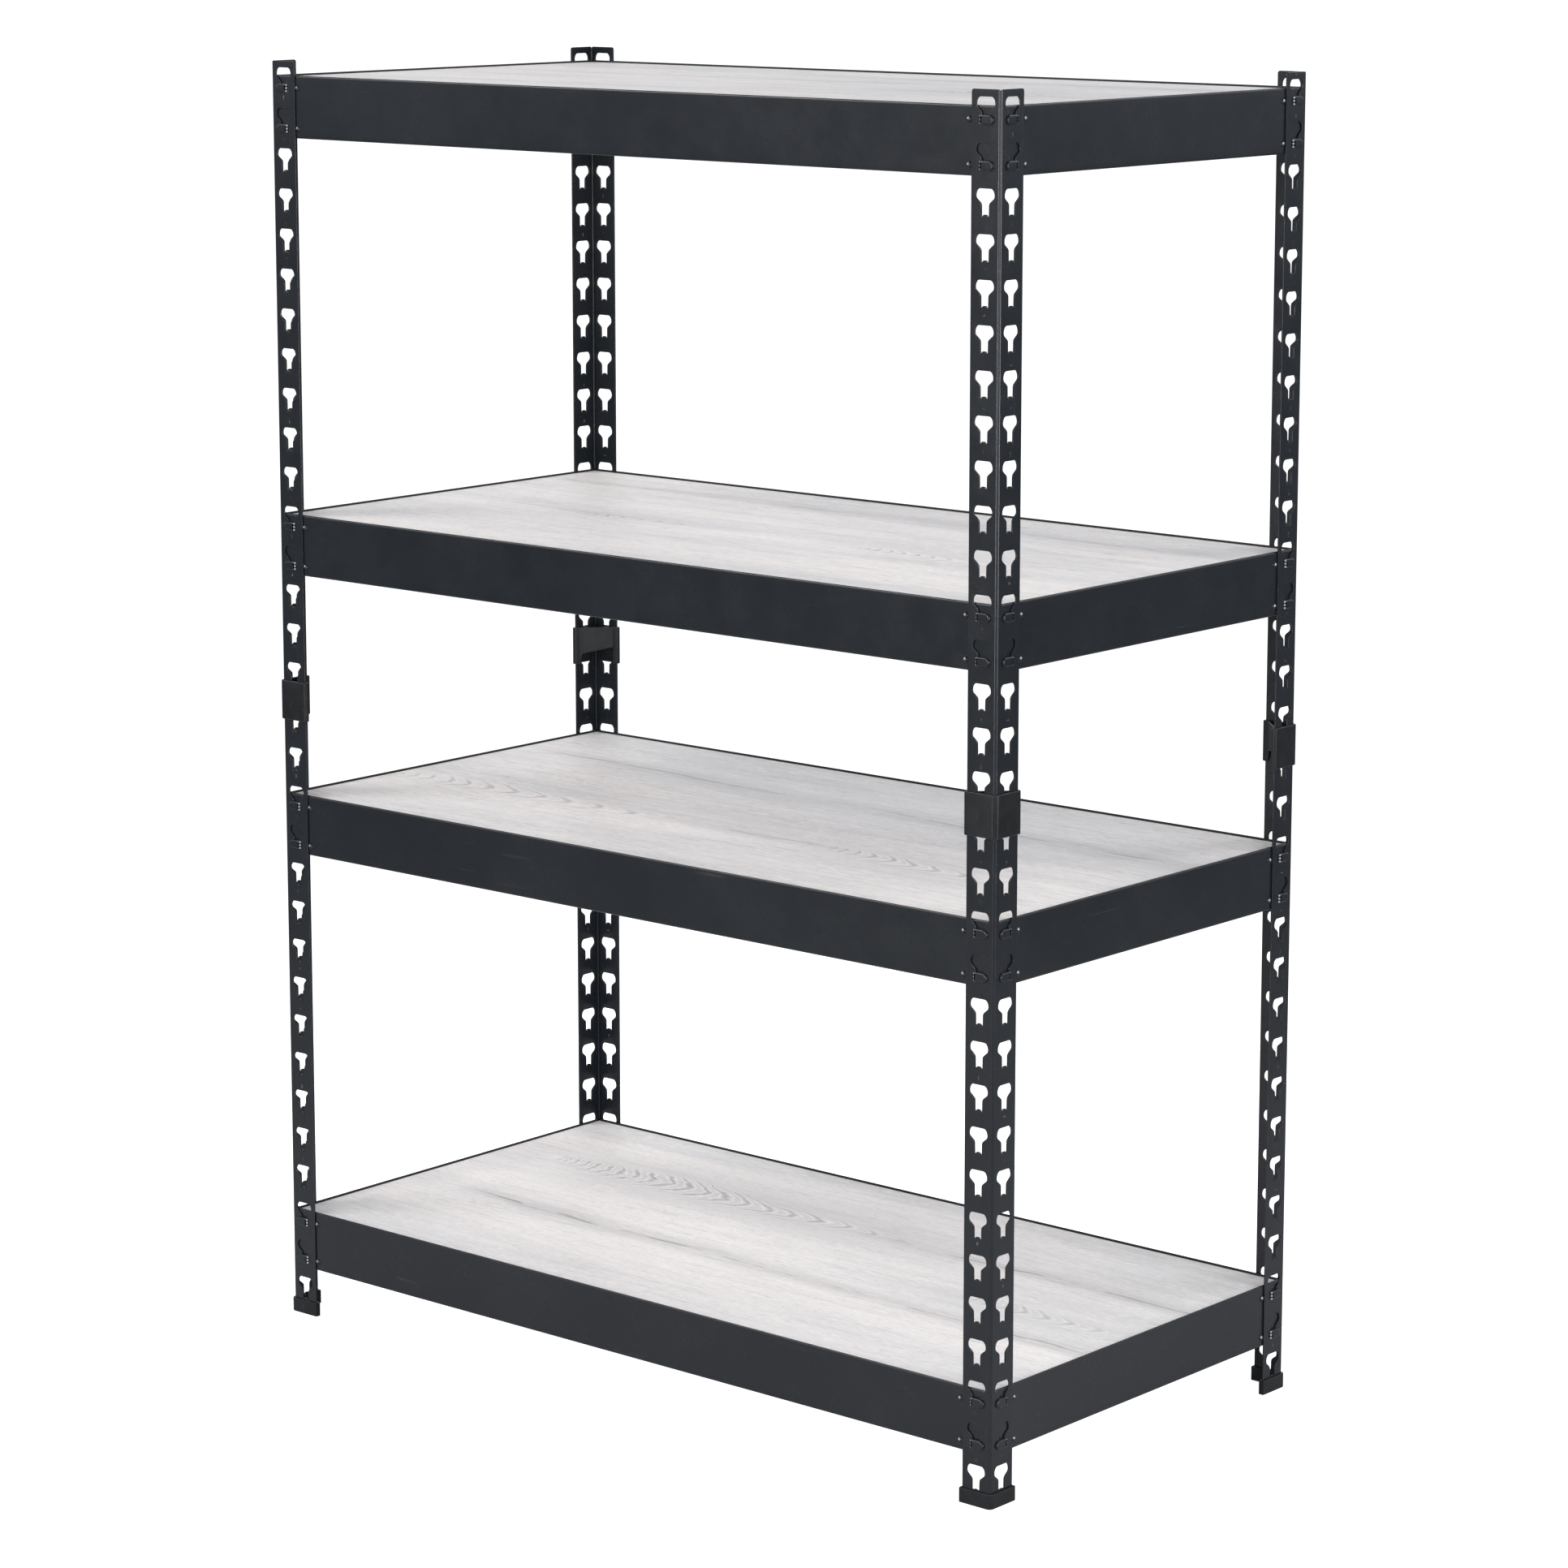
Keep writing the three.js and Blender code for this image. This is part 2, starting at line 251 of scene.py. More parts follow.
def keyhole(top):
    """Keyhole outline as (across, up), anticlockwise: wide head, straight slot and a tongue in its foot."""
    flat, shoulder_width, shoulder_height = 8.0, 5.7, 8.1
    side = []
    for i in range(7):
        angle = math.pi / 2 * i / 6
        side.append((flat + shoulder_width * math.sin(angle), shoulder_height * (1 - math.cos(angle))))
    side += [(13.5, 9.7), (13.0, 10.9), (12.2, 11.9), (10.0, 13.6), (7.1, 16.1), (6.2, 17.1)]
    side += [(5.7, 18.2), (5.5, 19.5), (5.3, 31.2), (5.1, 32.0), (4.6, 32.45), (4.0, 32.3)]
    side += [(3.6, 31.7), (3.1, 30.8), (2.3, 30.2), (1.2, 29.95)]
    right = [(x, top - depth) for x, depth in side]
    left = [(-x, top - depth) for x, depth in side]
    return left + right[::-1]


def post_place(across, up, depth):
    """A point of the flat blank, folded into an angle: across runs from one flange to the other."""
    half = BEND * math.pi / 4
    if across > half:
        return (BEND + across - half, depth, up)
    if across < -half:
        return (depth, BEND - across - half, up)
    angle = math.radians(225 + 45 * across / half)
    reach = BEND - depth
    return (BEND + reach * math.cos(angle), BEND + reach * math.sin(angle), up)


def post_mesh():
    shell = Shell()
    rim = 0.32
    corner = 3.2
    notch_depth = 1.3
    half = BEND * math.pi / 4
    edge = FLANGE - BEND + half
    column = HOLE_INSET - BEND + half
    tops = [POST_LENGTH - FIRST_HOLE_TOP - i * PITCH for i in range(HOLES)]
    borders = [top - HOLE_HEIGHT - (PITCH - HOLE_HEIGHT) / 2 for top in tops[:-1]]
    folds = [half * (i / 4 - 1) for i in range(9)]

    def notch(across):
        return notch_depth * math.cos(across / half * math.pi / 2) ** 2

    lower = [(across, 0.6 * notch(across)) for across in folds]
    right = arc(edge - corner, corner, corner, -90, 0, 5)
    right += [(edge, z) for z in sorted(borders)]
    right += arc(edge - corner, POST_LENGTH - corner, corner, 0, 90, 5)
    upper = [(across, POST_LENGTH - notch(across)) for across in reversed(folds)]
    left = [(-across, up) for across, up in reversed(right)]
    outline = lower + right + upper + left
    profile = rim_profile(SHEET, rim)
    rings = []
    for step, depth in profile:
        rings.append([post_place(x, y, depth) for x, y in inset(outline, step)])
    shell.rows(rings)
    skin = inset(outline, rim)
    count = len(folds)
    low_row = skin[:count]
    high_row = skin[count + len(right) : 2 * count + len(right)][::-1]

    # The bend, in long strips
    levels = sorted(borders)
    for depth in (0, SHEET):
        rows = [low_row] + [[(across, z) for across in folds] for z in levels] + [high_row]
        for one, other in zip(rows, rows[1:]):
            shell.band(
                [post_place(*p, depth) for p in one],
                [post_place(*p, depth) for p in other],
                closed=False,
            )

    # The flanges, one keyhole to a cell
    tall = [-1] + levels + [POST_LENGTH + 1]
    for side in (-1, 1):
        for low, high, top in zip(tall, tall[1:], reversed(tops)):
            hole = [(side * column + across, up) for across, up in keyhole(top)]
            if area(hole) > 0:
                hole.reverse()
            cell = [p for p in skin if side * p[0] >= half - TOUCH]
            cell = [p for p in cell if low - TOUCH <= p[1] <= high + TOUCH]
            inner = [(side * half, z) for z in (high, low) if 0 < z < POST_LENGTH]
            cell += inner if side > 0 else inner[::-1]
            cell = around(cell)
            for depth in (0, SHEET):
                shell.flat(cell, [inset(hole, rim)], lambda x, y, d=depth: post_place(x, y, d))
            walls = [[post_place(x, y, depth) for x, y in inset(hole, step)] for step, depth in profile]
            shell.rows(walls)
    return shell.mesh("post")


def around(points):
    """The points of a convex cell, in order round its middle and each only once."""
    x = sum(p[0] for p in points) / len(points)
    y = (min(p[1] for p in points) + max(p[1] for p in points)) / 2
    single = []
    for point in points:
        if all(math.dist(point, other) > TOUCH for other in single):
            single.append(point)
    return sorted(single, key=lambda p: math.atan2(p[1] - y, p[0] - x))


# ---------------------------------------------------------------- beams


def tongue_outline(towards):
    """Outline of a lug's tongue, anticlockwise round its slot's middle: a round end and three knuckles."""
    points = []
    for angle in range(-90, 91, 15):
        turn = math.radians(angle)
        points.append((6.5 + 6.4 * math.cos(turn), 5.9 * math.sin(turn)))
    points += [(3.0, 6.0), (-2.0, 6.0)]
    for z in (4.0, 0.0, -4.0):
        points += [(-6.4, z + 1.7), (-7.7, z + 1.1), (-8.1, z), (-7.7, z - 1.1), (-6.4, z - 1.7)]
    points += [(-2.0, -6.0), (3.0, -6.0)]
    if towards < 0:
        points = [(-x, z) for x, z in reversed(points)]
    return points


def rounded(half_width, half_height, radius, steps=3):
    """A rectangle with rounded corners, anticlockwise."""
    points = []
    for x, z, start in ((1, 1, 0), (-1, 1, 90), (-1, -1, 180), (1, -1, 270)):
        middle = (x * (half_width - radius), z * (half_height - radius))
        points += arc(*middle, radius, start, start + 90, steps)
    return points


def add_lug(shell, x, z, towards):
    """Neck and tongue. Returns the hole that they need in the web's face."""
    neck = [(x + a, z + b) for a, b in rounded(4.4, 5.4, 0.8)]
    tongue = [(x + a, z + b) for a, b in tongue_outline(towards)]
    back = -0.6
    shell.band([(a, WEB_FACE, b) for a, b in neck], [(a, back, b) for a, b in neck])
    shell.flat(tongue, [neck], lambda a, b: (a, back, b))
    rows = []
    for step, rise in ((0, 0), (0.05, 0.7), (0.35, 1.35), (0.8, 1.8), (1.35, 2.1), (2.1, 2.3)):
        rows.append([(a, back - rise, b) for a, b in inset(tongue, step)])
    shell.rows(rows)
    shell.face(rows[-1])
    # Bright specks on the three knuckles: partly coat rubbed off where the beam is hooked in, partly a
    # painted highlight
    for up in (4.0, 0.0, -4.0):
        shell.wear_and_highlight.append(((x - towards * 7.6, back - 1.0, z + up), 2.0, 1.0))
    return neck


def add_dimple(shell, x, z):
    """A pressed dome. Returns the hole that it needs in the web's face."""
    radius, height = 4.1, 2.55
    base = arc(x, z, radius, 0, 360, 24)[:-1]
    rows = [[(a, WEB_FACE, b) for a, b in base]]
    for angle in (8, 22, 36, 50, 63, 76):
        turn = math.radians(angle)
        ring = arc(x, z, (radius - 0.25) * math.cos(turn), 0, 360, 24)[:-1]
        rows.append([(a, WEB_FACE - height * math.sin(turn), b) for a, b in ring])
    shell.rows(rows)
    shell.face(rows[-1])
    # A painted highlight: a bright, glossier spot on the dome's upper left, where the light falls on it
    shell.wear_and_highlight.append(((x - 1.3, WEB_FACE - height, z + 1.4), 1.9, 1.0))
    return base


def beam_section():
    """The folded section in (y, z), in three runs: over the hem, round the ledge, round the bottom lip."""
    back = WEB_FACE + BEAM_SHEET
    ledge_low = LEDGE_TOP - BEAM_SHEET
    fold = 2.3
    over = []
    for i in range(9):
        turn = math.pi / 2 * i / 8
        y = WEB_FACE + HEM_ROUND * (1 - math.cos(turn))
        over.append((y, BEAM_HEIGHT - HEM_DROP * (1 - math.sin(turn))))
    over += arc(RIM_BACK - 0.9, BEAM_HEIGHT - 0.9, 0.9, 90, 0, 4)
    over.append((RIM_BACK, LEDGE_TOP + 0.8))
    ledge = arc(RIM_BACK + 0.8, LEDGE_TOP + 0.8, 0.8, 180, 270, 3)
    ledge += arc(LEDGE_REACH - 0.5, LEDGE_TOP - 0.5, 0.5, 90, 0, 2)
    ledge += arc(LEDGE_REACH - 0.5, ledge_low + 0.5, 0.5, 0, -90, 2)
    ledge += arc(back + 2.1, ledge_low + 2, 2, 270, 188, 4)
    ledge.append((back, ledge_low + 2.2))
    lip = [(back, fold)]
    lip += arc(back + 0.8, BEAM_SHEET + 0.8, 0.8, 180, 270, 3)
    lip += arc(LIP_REACH - 0.5, BEAM_SHEET - 0.5, 0.5, 90, 0, 2)
    lip += arc(LIP_REACH - 0.5, 0.5, 0.5, 0, -90, 2)
    lip += arc(WEB_FACE + fold, fold, fold, 270, 180, 6)
    return over, ledge, lip


def beam_mesh(span, trim):
    """A beam along X. Its web stops BEAM_END short of the span, and its ledge and lip stop trim short."""
    shell = Shell()
    end = span / 2 - BEAM_END
    inner = span / 2 - trim
    over, ledge, lip = beam_section()

    def sweep(path, x0, x1):
        shell.band([(x0, *p) for p in path], [(x1, *p) for p in path], closed=False)

    def cap(path, x):
        shell.flat(path, [], lambda y, z: (x, y, z))

    stations = [-inner, inner] if abs(end - inner) < TOUCH else [-end, -inner, inner, end]
    for x0, x1 in zip(stations, stations[1:]):
        sweep(over, x0, x1)
        sweep([ledge[-1], lip[0]], x0, x1)
        if x0 >= -inner - TOUCH and x1 <= inner + TOUCH:
            sweep([over[-1]] + ledge, x0, x1)
            sweep(lip, x0, x1)
        else:
            sweep([over[-1], ledge[-1]], x0, x1)
            sweep([lip[0], lip[-1]], x0, x1)
    for x in (-end, end):
        if len(stations) == 2:
            cap(over + ledge + lip, x)
        else:
            cap(over + [ledge[-1], lip[0], lip[-1]], x)
    if len(stations) == 4:
        for x in (-inner, inner):
            cap([over[-1]] + ledge, x)
            cap(lip, x)

    holes = []
    for towards in (-1, 1):
        for z in (LOWER_LUG, LOWER_LUG + PITCH):
            holes.append(add_lug(shell, towards * (span / 2 - HOLE_INSET), z, towards))
            holes.append(add_dimple(shell, towards * (span / 2 - FLANGE - DIMPLE_OUT), z))
    low, high = lip[-1][1], over[0][1]
    edge = [(x, low) for x in stations] + [(x, high) for x in reversed(stations)]
    shell.flat(edge, holes, lambda x, z: (x, WEB_FACE, z))
    return shell.mesh("beam")


# ---------------------------------------------------------------- mouldings


def angle_outline(grow, back, radius, tip):
    """An anticlockwise L with its outer corner at (-grow, -grow), legs along +X and +Y and round corners."""
    reach = FLANGE + grow
    points = arc(radius - grow, radius - grow, radius, 180, 270, 8)
    points += arc(reach - tip, tip - grow, tip, -90, 0, 3)
    points += arc(reach - tip, back - tip, tip, 0, 90, 3)
    inner = max(0.4, tip)
    points += arc(back + inner, back + inner, inner, 270, 180, 3)
    points += arc(back - tip, reach - tip, tip, 0, 90, 3)
    points += arc(tip - grow, reach - tip, tip, 90, 180, 3)
    return points


def foot_mesh():
    shell = Shell()
    grow = WALL + GAP
    outer = angle_outline(grow, SHEET + grow, BEND + grow, 1.1)
    slot = angle_outline(GAP, SHEET + GAP, BEND, 0.3)[::-1]
    under, over, mouth = 0.9, 0.7, 0.35
    top = FOOT_HEIGHT
    outside = [(under, 0), (0.25, 0.25), (0, under), (0, top - over), (0.2, top - 0.2), (over, top)]
    shell.rows([[(x, y, z) for x, y in inset(outer, step)] for step, z in outside])
    inner = [(mouth, top), (0.1, top - 0.1), (0, top - mouth), (0, FOOT_BASE)]
    shell.rows([[(x, y, z) for x, y in inset(slot, step)] for step, z in inner])
    shell.flat(inset(outer, over), [inset(slot, mouth)], lambda x, y: (x, y, top))
    shell.flat(inset(outer, under), [], lambda x, y: (x, y, 0))
    shell.flat(slot[::-1], [], lambda x, y: (x, y, FOOT_BASE))
    return shell.mesh("foot")


def coupler_path():
    """Middle line of the sleeve's wall, anticlockwise, as (x, y, lower end). Its web's lower end rises."""
    web_low, web_rise = 14, 9
    grow = GAP + WALL / 2
    reach = FLANGE + grow
    back = SHEET + grow
    radius = BEND + grow
    path = [(x, y, 0) for x, y in arc(radius - grow, radius - grow, radius, 180, 270, 10)]
    path += [(18, -grow, 0), (32, -grow, 0)]
    path += [(x, y, 0) for x, y in arc(reach - 1.8, 1.8 - grow, 1.8, -90, 0, 4)]
    tip = arc(reach - 1.4, back - 1.4, 1.4, 0, 60, 3)
    path += [(x, y, 0) for x, y in tip]
    start = (reach - 7.5, back + 0.6)
    finish = (start[1], start[0])
    path.append((*start, 0))
    steps = 9
    for i in range(steps + 1):
        share = i / steps
        x = start[0] - 2 + (finish[0] - start[0] + 2) * share
        y = start[1] + 1.6 + (finish[1] - start[1] - 1.6) * share
        path.append((x, y, web_low + web_rise * share))
    path.append((*finish, 0))
    path += [(y, x, 0) for x, y in reversed(tip)]
    path += [(x, y, 0) for x, y in arc(1.8 - grow, reach - 1.8, 1.8, 90, 180, 4)]
    path += [(-grow, 32, 0), (-grow, 18, 0)]
    return path


def coupler_mesh():
    shell = Shell()
    path = coupler_path()
    middle = [(x, y) for x, y, low in path]
    outer = inset(middle, -WALL / 2)
    inner = inset(middle, WALL / 2)

    def row(side, height):
        """The wall's points at one height, from its inner face at side -1 to its outer face at side 1."""
        found = []
        for (x, y, low), (to_x, to_y) in zip(path, outer if side > 0 else inner):
            share = abs(side)
            found.append((x + (to_x - x) * share, y + (to_y - y) * share, height(low)))
        return found

    rounding = [(1, 1.1), (0.86, 0.3), (0.6, 0.0), (-0.6, 0.0), (-0.86, 0.3), (-1, 1.1)]
    heights = (14.5, 23.9, 30.0, 38.0, 45.0)
    rows = [row(side, lambda low, up=up: low + up) for side, up in rounding]
    rows += [row(-1, lambda low, up=up: max(up, low + 1.2)) for up in heights]
    rows += [row(side, lambda low, up=up: COUPLER_HEIGHT - up) for side, up in reversed(rounding)]
    rows += [row(1, lambda low, up=up: max(up, low + 1.2)) for up in reversed(heights)]
    shell.rows(rows + rows[:1])
    return shell.mesh("coupler")


def board_mesh():
    """A board with softened edges and thin laminate faces standing a hair proud of its core."""
    shell = Shell()
    half_width = WIDTH / 2 - RIM_BACK - BOARD_CLEARANCE
    half_depth = DEPTH / 2 - RIM_BACK - BOARD_CLEARANCE
    outline = rounded(half_width, half_depth, 1.0, 3)
    rows = []
    top = BOARD_THICKNESS
    steps = [(0.5, 0), (0.15, 0.15), (0, 0.5), (0, 0.9), (0.12, 1.0)]
    for step, z in steps + [(step, top - z) for step, z in reversed(steps)]:
        rows.append([(x, y, z) for x, y in inset(outline, step)])
    shell.rows(rows)
    for z in (0, top):
        shell.flat(inset(outline, 0.5), [], lambda x, y, up=z: (x, y, up))
    return shell.mesh("board")


# ---------------------------------------------------------------- materials


class Recipe:
    """A node material, with short words for the nodes used here."""

    def __init__(self, name):
        self.material = bpy.data.materials.new(name)
        self.material.use_nodes = True
        self.tree = self.material.node_tree
        self.tree.nodes.clear()
        self.shader = self.add("ShaderNodeBsdfPrincipled")
        out = self.add("ShaderNodeOutputMaterial")
        self.link(self.shader.outputs[0], out.inputs[0])

    def add(self, kind, **options):
        node = self.tree.nodes.new(kind)
        for key, value in options.items():
            setattr(node, key, value)
        return node

    def link(self, source, target):
        self.tree.links.new(source, target)

    def feed(self, socket, value):
        if isinstance(value, bpy.types.NodeSocket):
            self.link(value, socket)
        elif value is not None:
            socket.default_value = value

    def math(self, operation, a, b=None, c=None):
        node = self.add("ShaderNodeMath", operation=operation)
        for socket, value in zip(node.inputs, (a, b, c)):
            self.feed(socket, value)
        return node.outputs[0]

    def attribute(self, name):
        return self.add("ShaderNodeAttribute", attribute_name=name).outputs["Fac"]

    def place(self, spread, seed=None):
        """Object coordinates scaled by spread. Where seed is given, the piece's own number moves them."""
        coordinates = self.add("ShaderNodeTexCoord").outputs["Object"]
        scaled = self.add("ShaderNodeVectorMath", operation="MULTIPLY")
        self.link(coordinates, scaled.inputs[0])
        scaled.inputs[1].default_value = spread
        if seed is None:
            return scaled.outputs[0]
        moved = self.add("ShaderNodeVectorMath", operation="MULTIPLY_ADD")
        self.link(self.attribute("seed"), moved.inputs[0])
        moved.inputs[1].default_value = seed
        self.link(scaled.outputs[0], moved.inputs[2])
        return moved.outputs[0]

    def noise(self, spread, detail=3, rough=0.5, seed=(7.3, 3.1, 5.7)):
        """Noise from 0 to 1, with spread waves to the metre along each axis."""
        return self.noise_at(self.place(spread, seed), detail, rough)

    def noise_at(self, where, detail, rough, distortion=0.0):
        node = self.add("ShaderNodeTexNoise", noise_dimensions="3D")
        self.link(where, node.inputs["Vector"])
        node.inputs["Scale"].default_value = 1
        node.inputs["Detail"].default_value = detail
        node.inputs["Roughness"].default_value = rough
        node.inputs["Distortion"].default_value = distortion
        return node.outputs["Fac"]

    def ramp(self, value, low, high, to_low=0.0, to_high=1.0):
        """A smooth step from to_low, at the value low, to to_high, at the value high."""
        node = self.add("ShaderNodeMapRange", interpolation_type="SMOOTHSTEP")
        node.clamp = True
        for socket, given in zip(node.inputs, (value, low, high, to_low, to_high)):
            self.feed(socket, given)
        return node.outputs[0]

    def mix(self, share, one, other, blend="MIX"):
        node = self.add("ShaderNodeMix", data_type="RGBA", blend_type=blend)
        self.feed(node.inputs[0], share)
        for socket, value in ((node.inputs[6], one), (node.inputs[7], other)):
            if isinstance(value, tuple):
                value = (*value, 1)
            self.feed(socket, value)
        return node.outputs[2]

    def bump(self, height, distance, strength=1.0, normal=None):
        node = self.add("ShaderNodeBump")
        node.inputs["Strength"].default_value = strength
        node.inputs["Distance"].default_value = distance
        self.link(height, node.inputs["Height"])
        if normal:
            self.link(normal, node.inputs["Normal"])
        return node.outputs[0]

    def set(self, **values):
        """Feeds the shader's sockets. A socket's name has _ for each space."""
        for key, value in values.items():
            self.feed(self.shader.inputs[key.replace("_", " ")], value)


COAT_DARK = (0.0062, 0.0078, 0.0104)
COAT_PALE = (0.0084, 0.0101, 0.0130)
COAT_FLECK = (0.014, 0.016, 0.019)
RUBBED = (0.07, 0.072, 0.075)
WORN_EDGE = (0.14, 0.14, 0.145)
PRESS_MARK = (0.17, 0.17, 0.175)
# Colour of the bright spots: polished coat and painted highlight on the knuckles, painted highlight on the
# dimples
POLISH_AND_HIGHLIGHT = (0.36, 0.36, 0.37)
PLASTIC_DARK = (0.0042, 0.0050, 0.0062)
PLASTIC_PALE = (0.0064, 0.0073, 0.0086)
SCUFFED = (0.075, 0.075, 0.078)
PLASTIC_EDGE = (0.10, 0.10, 0.105)


def steel_material(name, posts):
    """Satin black powder coat on folded sheet: fine orange peel, rub marks and brighter worn edges."""
    r = Recipe(name)
    cloud = r.noise((5, 5, 5), 4)
    fine = r.noise((160, 160, 160), 4, 0.6)
    colour = r.mix(r.ramp(cloud, 0.3, 0.7), COAT_DARK, COAT_PALE)
    colour = r.mix(r.math("MULTIPLY", r.ramp(fine, 0.50, 0.85), 0.16), colour, COAT_FLECK)
    # Fine rub marks along the length of the piece
    marks = r.noise((260, 260, 7) if posts else (5, 260, 160), 3, 0.55, (2.1, 9.4, 4.4))
    patches = r.noise((9, 9, 6), 3, 0.5, (5.5, 1.3, 8.1))
    rub = r.math("MULTIPLY", r.ramp(marks, 0.62, 0.78), r.ramp(patches, 0.5, 0.7))
    colour = r.mix(r.math("MULTIPLY", rub, 0.32), colour, RUBBED)
    # Worn edges, and spots of polished coat and painted highlight
    uneven = r.ramp(r.noise((45, 45, 45), 4, 0.6, (1.7, 6.1, 2.2)), 0.4, 0.68, 0.25, 0.9)
    wear_and_highlight = r.math("MULTIPLY", r.attribute("edge"), uneven)
    colour = r.mix(r.math("MULTIPLY", wear_and_highlight, 0.55), colour, WORN_EDGE)
    if posts:
        colour = r.mix(tool_marks(r), colour, PRESS_MARK)
    # The knuckle spots are partly polished coat and partly painted highlight; the dimple spots are a painted
    # highlight
    polish_and_highlight = r.attribute("wear_and_highlight")
    colour = r.mix(r.math("MULTIPLY", polish_and_highlight, 0.9), colour, POLISH_AND_HIGHLIGHT)
    rough = r.ramp(r.noise((22, 22, 22), 4, 0.6, (3.3, 8.8, 1.9)), 0.25, 0.75, 0.23, 0.29)
    rough = r.math("SUBTRACT", rough, r.math("MULTIPLY", rub, 0.08))
    rough = r.math("SUBTRACT", rough, r.math("MULTIPLY", polish_and_highlight, 0.1))
    peel = r.noise((850, 850, 850), 2, 0.5, (4.2, 2.6, 9.3))
    waves = r.noise((60, 60, 60), 2, 0.5, (8.2, 5.6, 1.3))
    normal = r.bump(peel, 0.00006, 0.5)
    normal = r.bump(waves, 0.0006, 0.12, normal)
    r.set(Base_Color=colour, Roughness=rough, Normal=normal)
    r.shader.inputs["Specular IOR Level"].default_value = 0.3
    return r.material


def tool_marks(r):
    """Small light press marks between the keyholes, each cell with its own strength and place."""
    split = r.add("ShaderNodeSeparateXYZ")
    r.link(r.place((1, 1, 1)), split.inputs[0])
    across = r.math("MAXIMUM", split.outputs[0], split.outputs[1])
    first = (POST_LENGTH - FIRST_HOLE_TOP) * MM
    cell = r.math("DIVIDE", r.math("SUBTRACT", first, split.outputs[2]), PITCH * MM)
    number = r.math("FLOOR", cell)
    which = r.math("ADD", number, r.math("MULTIPLY", r.attribute("seed"), 17.0))
    flange = r.math("GREATER_THAN", split.outputs[0], split.outputs[1])
    which = r.math("ADD", which, r.math("MULTIPLY", flange, 31.0))
    dice = r.add("ShaderNodeTexWhiteNoise", noise_dimensions="1D")
    r.link(which, dice.inputs["W"])
    parts = r.add("ShaderNodeSeparateColor")
    r.link(dice.outputs["Color"], parts.inputs[0])
    height, slimness, strength = parts.outputs
    down = r.math("MULTIPLY", r.math("SUBTRACT", cell, number), PITCH)
    middle = r.math("ADD", r.math("MULTIPLY", height, 9.0), 38.0)
    side = r.math("SUBTRACT", r.math("MULTIPLY", across, 1000), HOLE_INSET)
    side = r.math("DIVIDE", side, r.math("ADD", r.math("MULTIPLY", slimness, 3.0), 1.0))
    half_height = r.math("SUBTRACT", 4.6, r.math("MULTIPLY", slimness, 3.6))
    up = r.math("DIVIDE", r.math("SUBTRACT", down, middle), half_height)
    away = r.math("ADD", r.math("MULTIPLY", side, side), r.math("MULTIPLY", up, up))
    spot = r.ramp(away, 0.15, 1.0, 1, 0)
    broken = r.ramp(r.noise((420, 420, 260), 3, 0.6, (6.4, 2.9, 7.7)), 0.42, 0.62)
    return r.math("MULTIPLY", r.math("MULTIPLY", spot, broken), r.ramp(strength, 0.35, 1.0, 0.0, 0.5))


def plastic_material():
    """Satin moulded plastic, slightly uneven in gloss, with soft wrinkles and a fine grain."""
    r = Recipe("black_plastic")
    cloud = r.noise((24, 24, 18), 4, 0.55)
    colour = r.mix(r.ramp(cloud, 0.3, 0.7), PLASTIC_DARK, PLASTIC_PALE)
    scuff = r.ramp(r.noise((180, 180, 60), 4, 0.65, (3.7, 1.9, 6.3)), 0.6, 0.8)
    colour = r.mix(r.math("MULTIPLY", scuff, 0.3), colour, SCUFFED)
    colour = r.mix(r.math("MULTIPLY", r.attribute("edge"), 0.22), colour, PLASTIC_EDGE)
    rough = r.ramp(r.noise((45, 45, 45), 4, 0.6, (9.1, 4.4, 2.3)), 0.25, 0.75, 0.30, 0.42)
    soft = r.noise((55, 55, 40), 3, 0.5, (2.8, 7.5, 3.9))
    grain = r.noise((1400, 1400, 1400), 2, 0.5, (1.1, 3.6, 8.4))
    normal = r.bump(soft, 0.0012, 0.35)
    normal = r.bump(grain, 0.00005, 0.5, normal)
    r.set(Base_Color=colour, Roughness=rough, Normal=normal)
    r.shader.inputs["Specular IOR Level"].default_value = 0.22
    return r.material


WARM_GRAIN = (0.870, 0.830, 0.812)
COOL_GRAIN = (0.740, 0.728, 0.728)
BAND = (0.52, 0.52, 0.53)
STREAK = (0.47, 0.465, 0.47)
FIBRE = (0.50, 0.495, 0.50)
PALE_FIBRE = (0.93, 0.91, 0.905)
FLECK = (0.97, 0.94, 0.925)
PORE = (0.30, 0.295, 0.30)
FIGURE_SHADE = (0.47, 0.47, 0.48)
# Colour of the painted highlight beside the figures' dark arcs
FIGURE_HIGHLIGHT = (0.90, 0.88, 0.875)
FIGURE_DARK = (0.28, 0.275, 0.285)
LINE_DARK = (0.27, 0.268, 0.275)
CORE_DARK = (0.30, 0.20, 0.115)
CORE_PALE = (0.50, 0.37, 0.24)
CHIPS_PER_METRE = 520


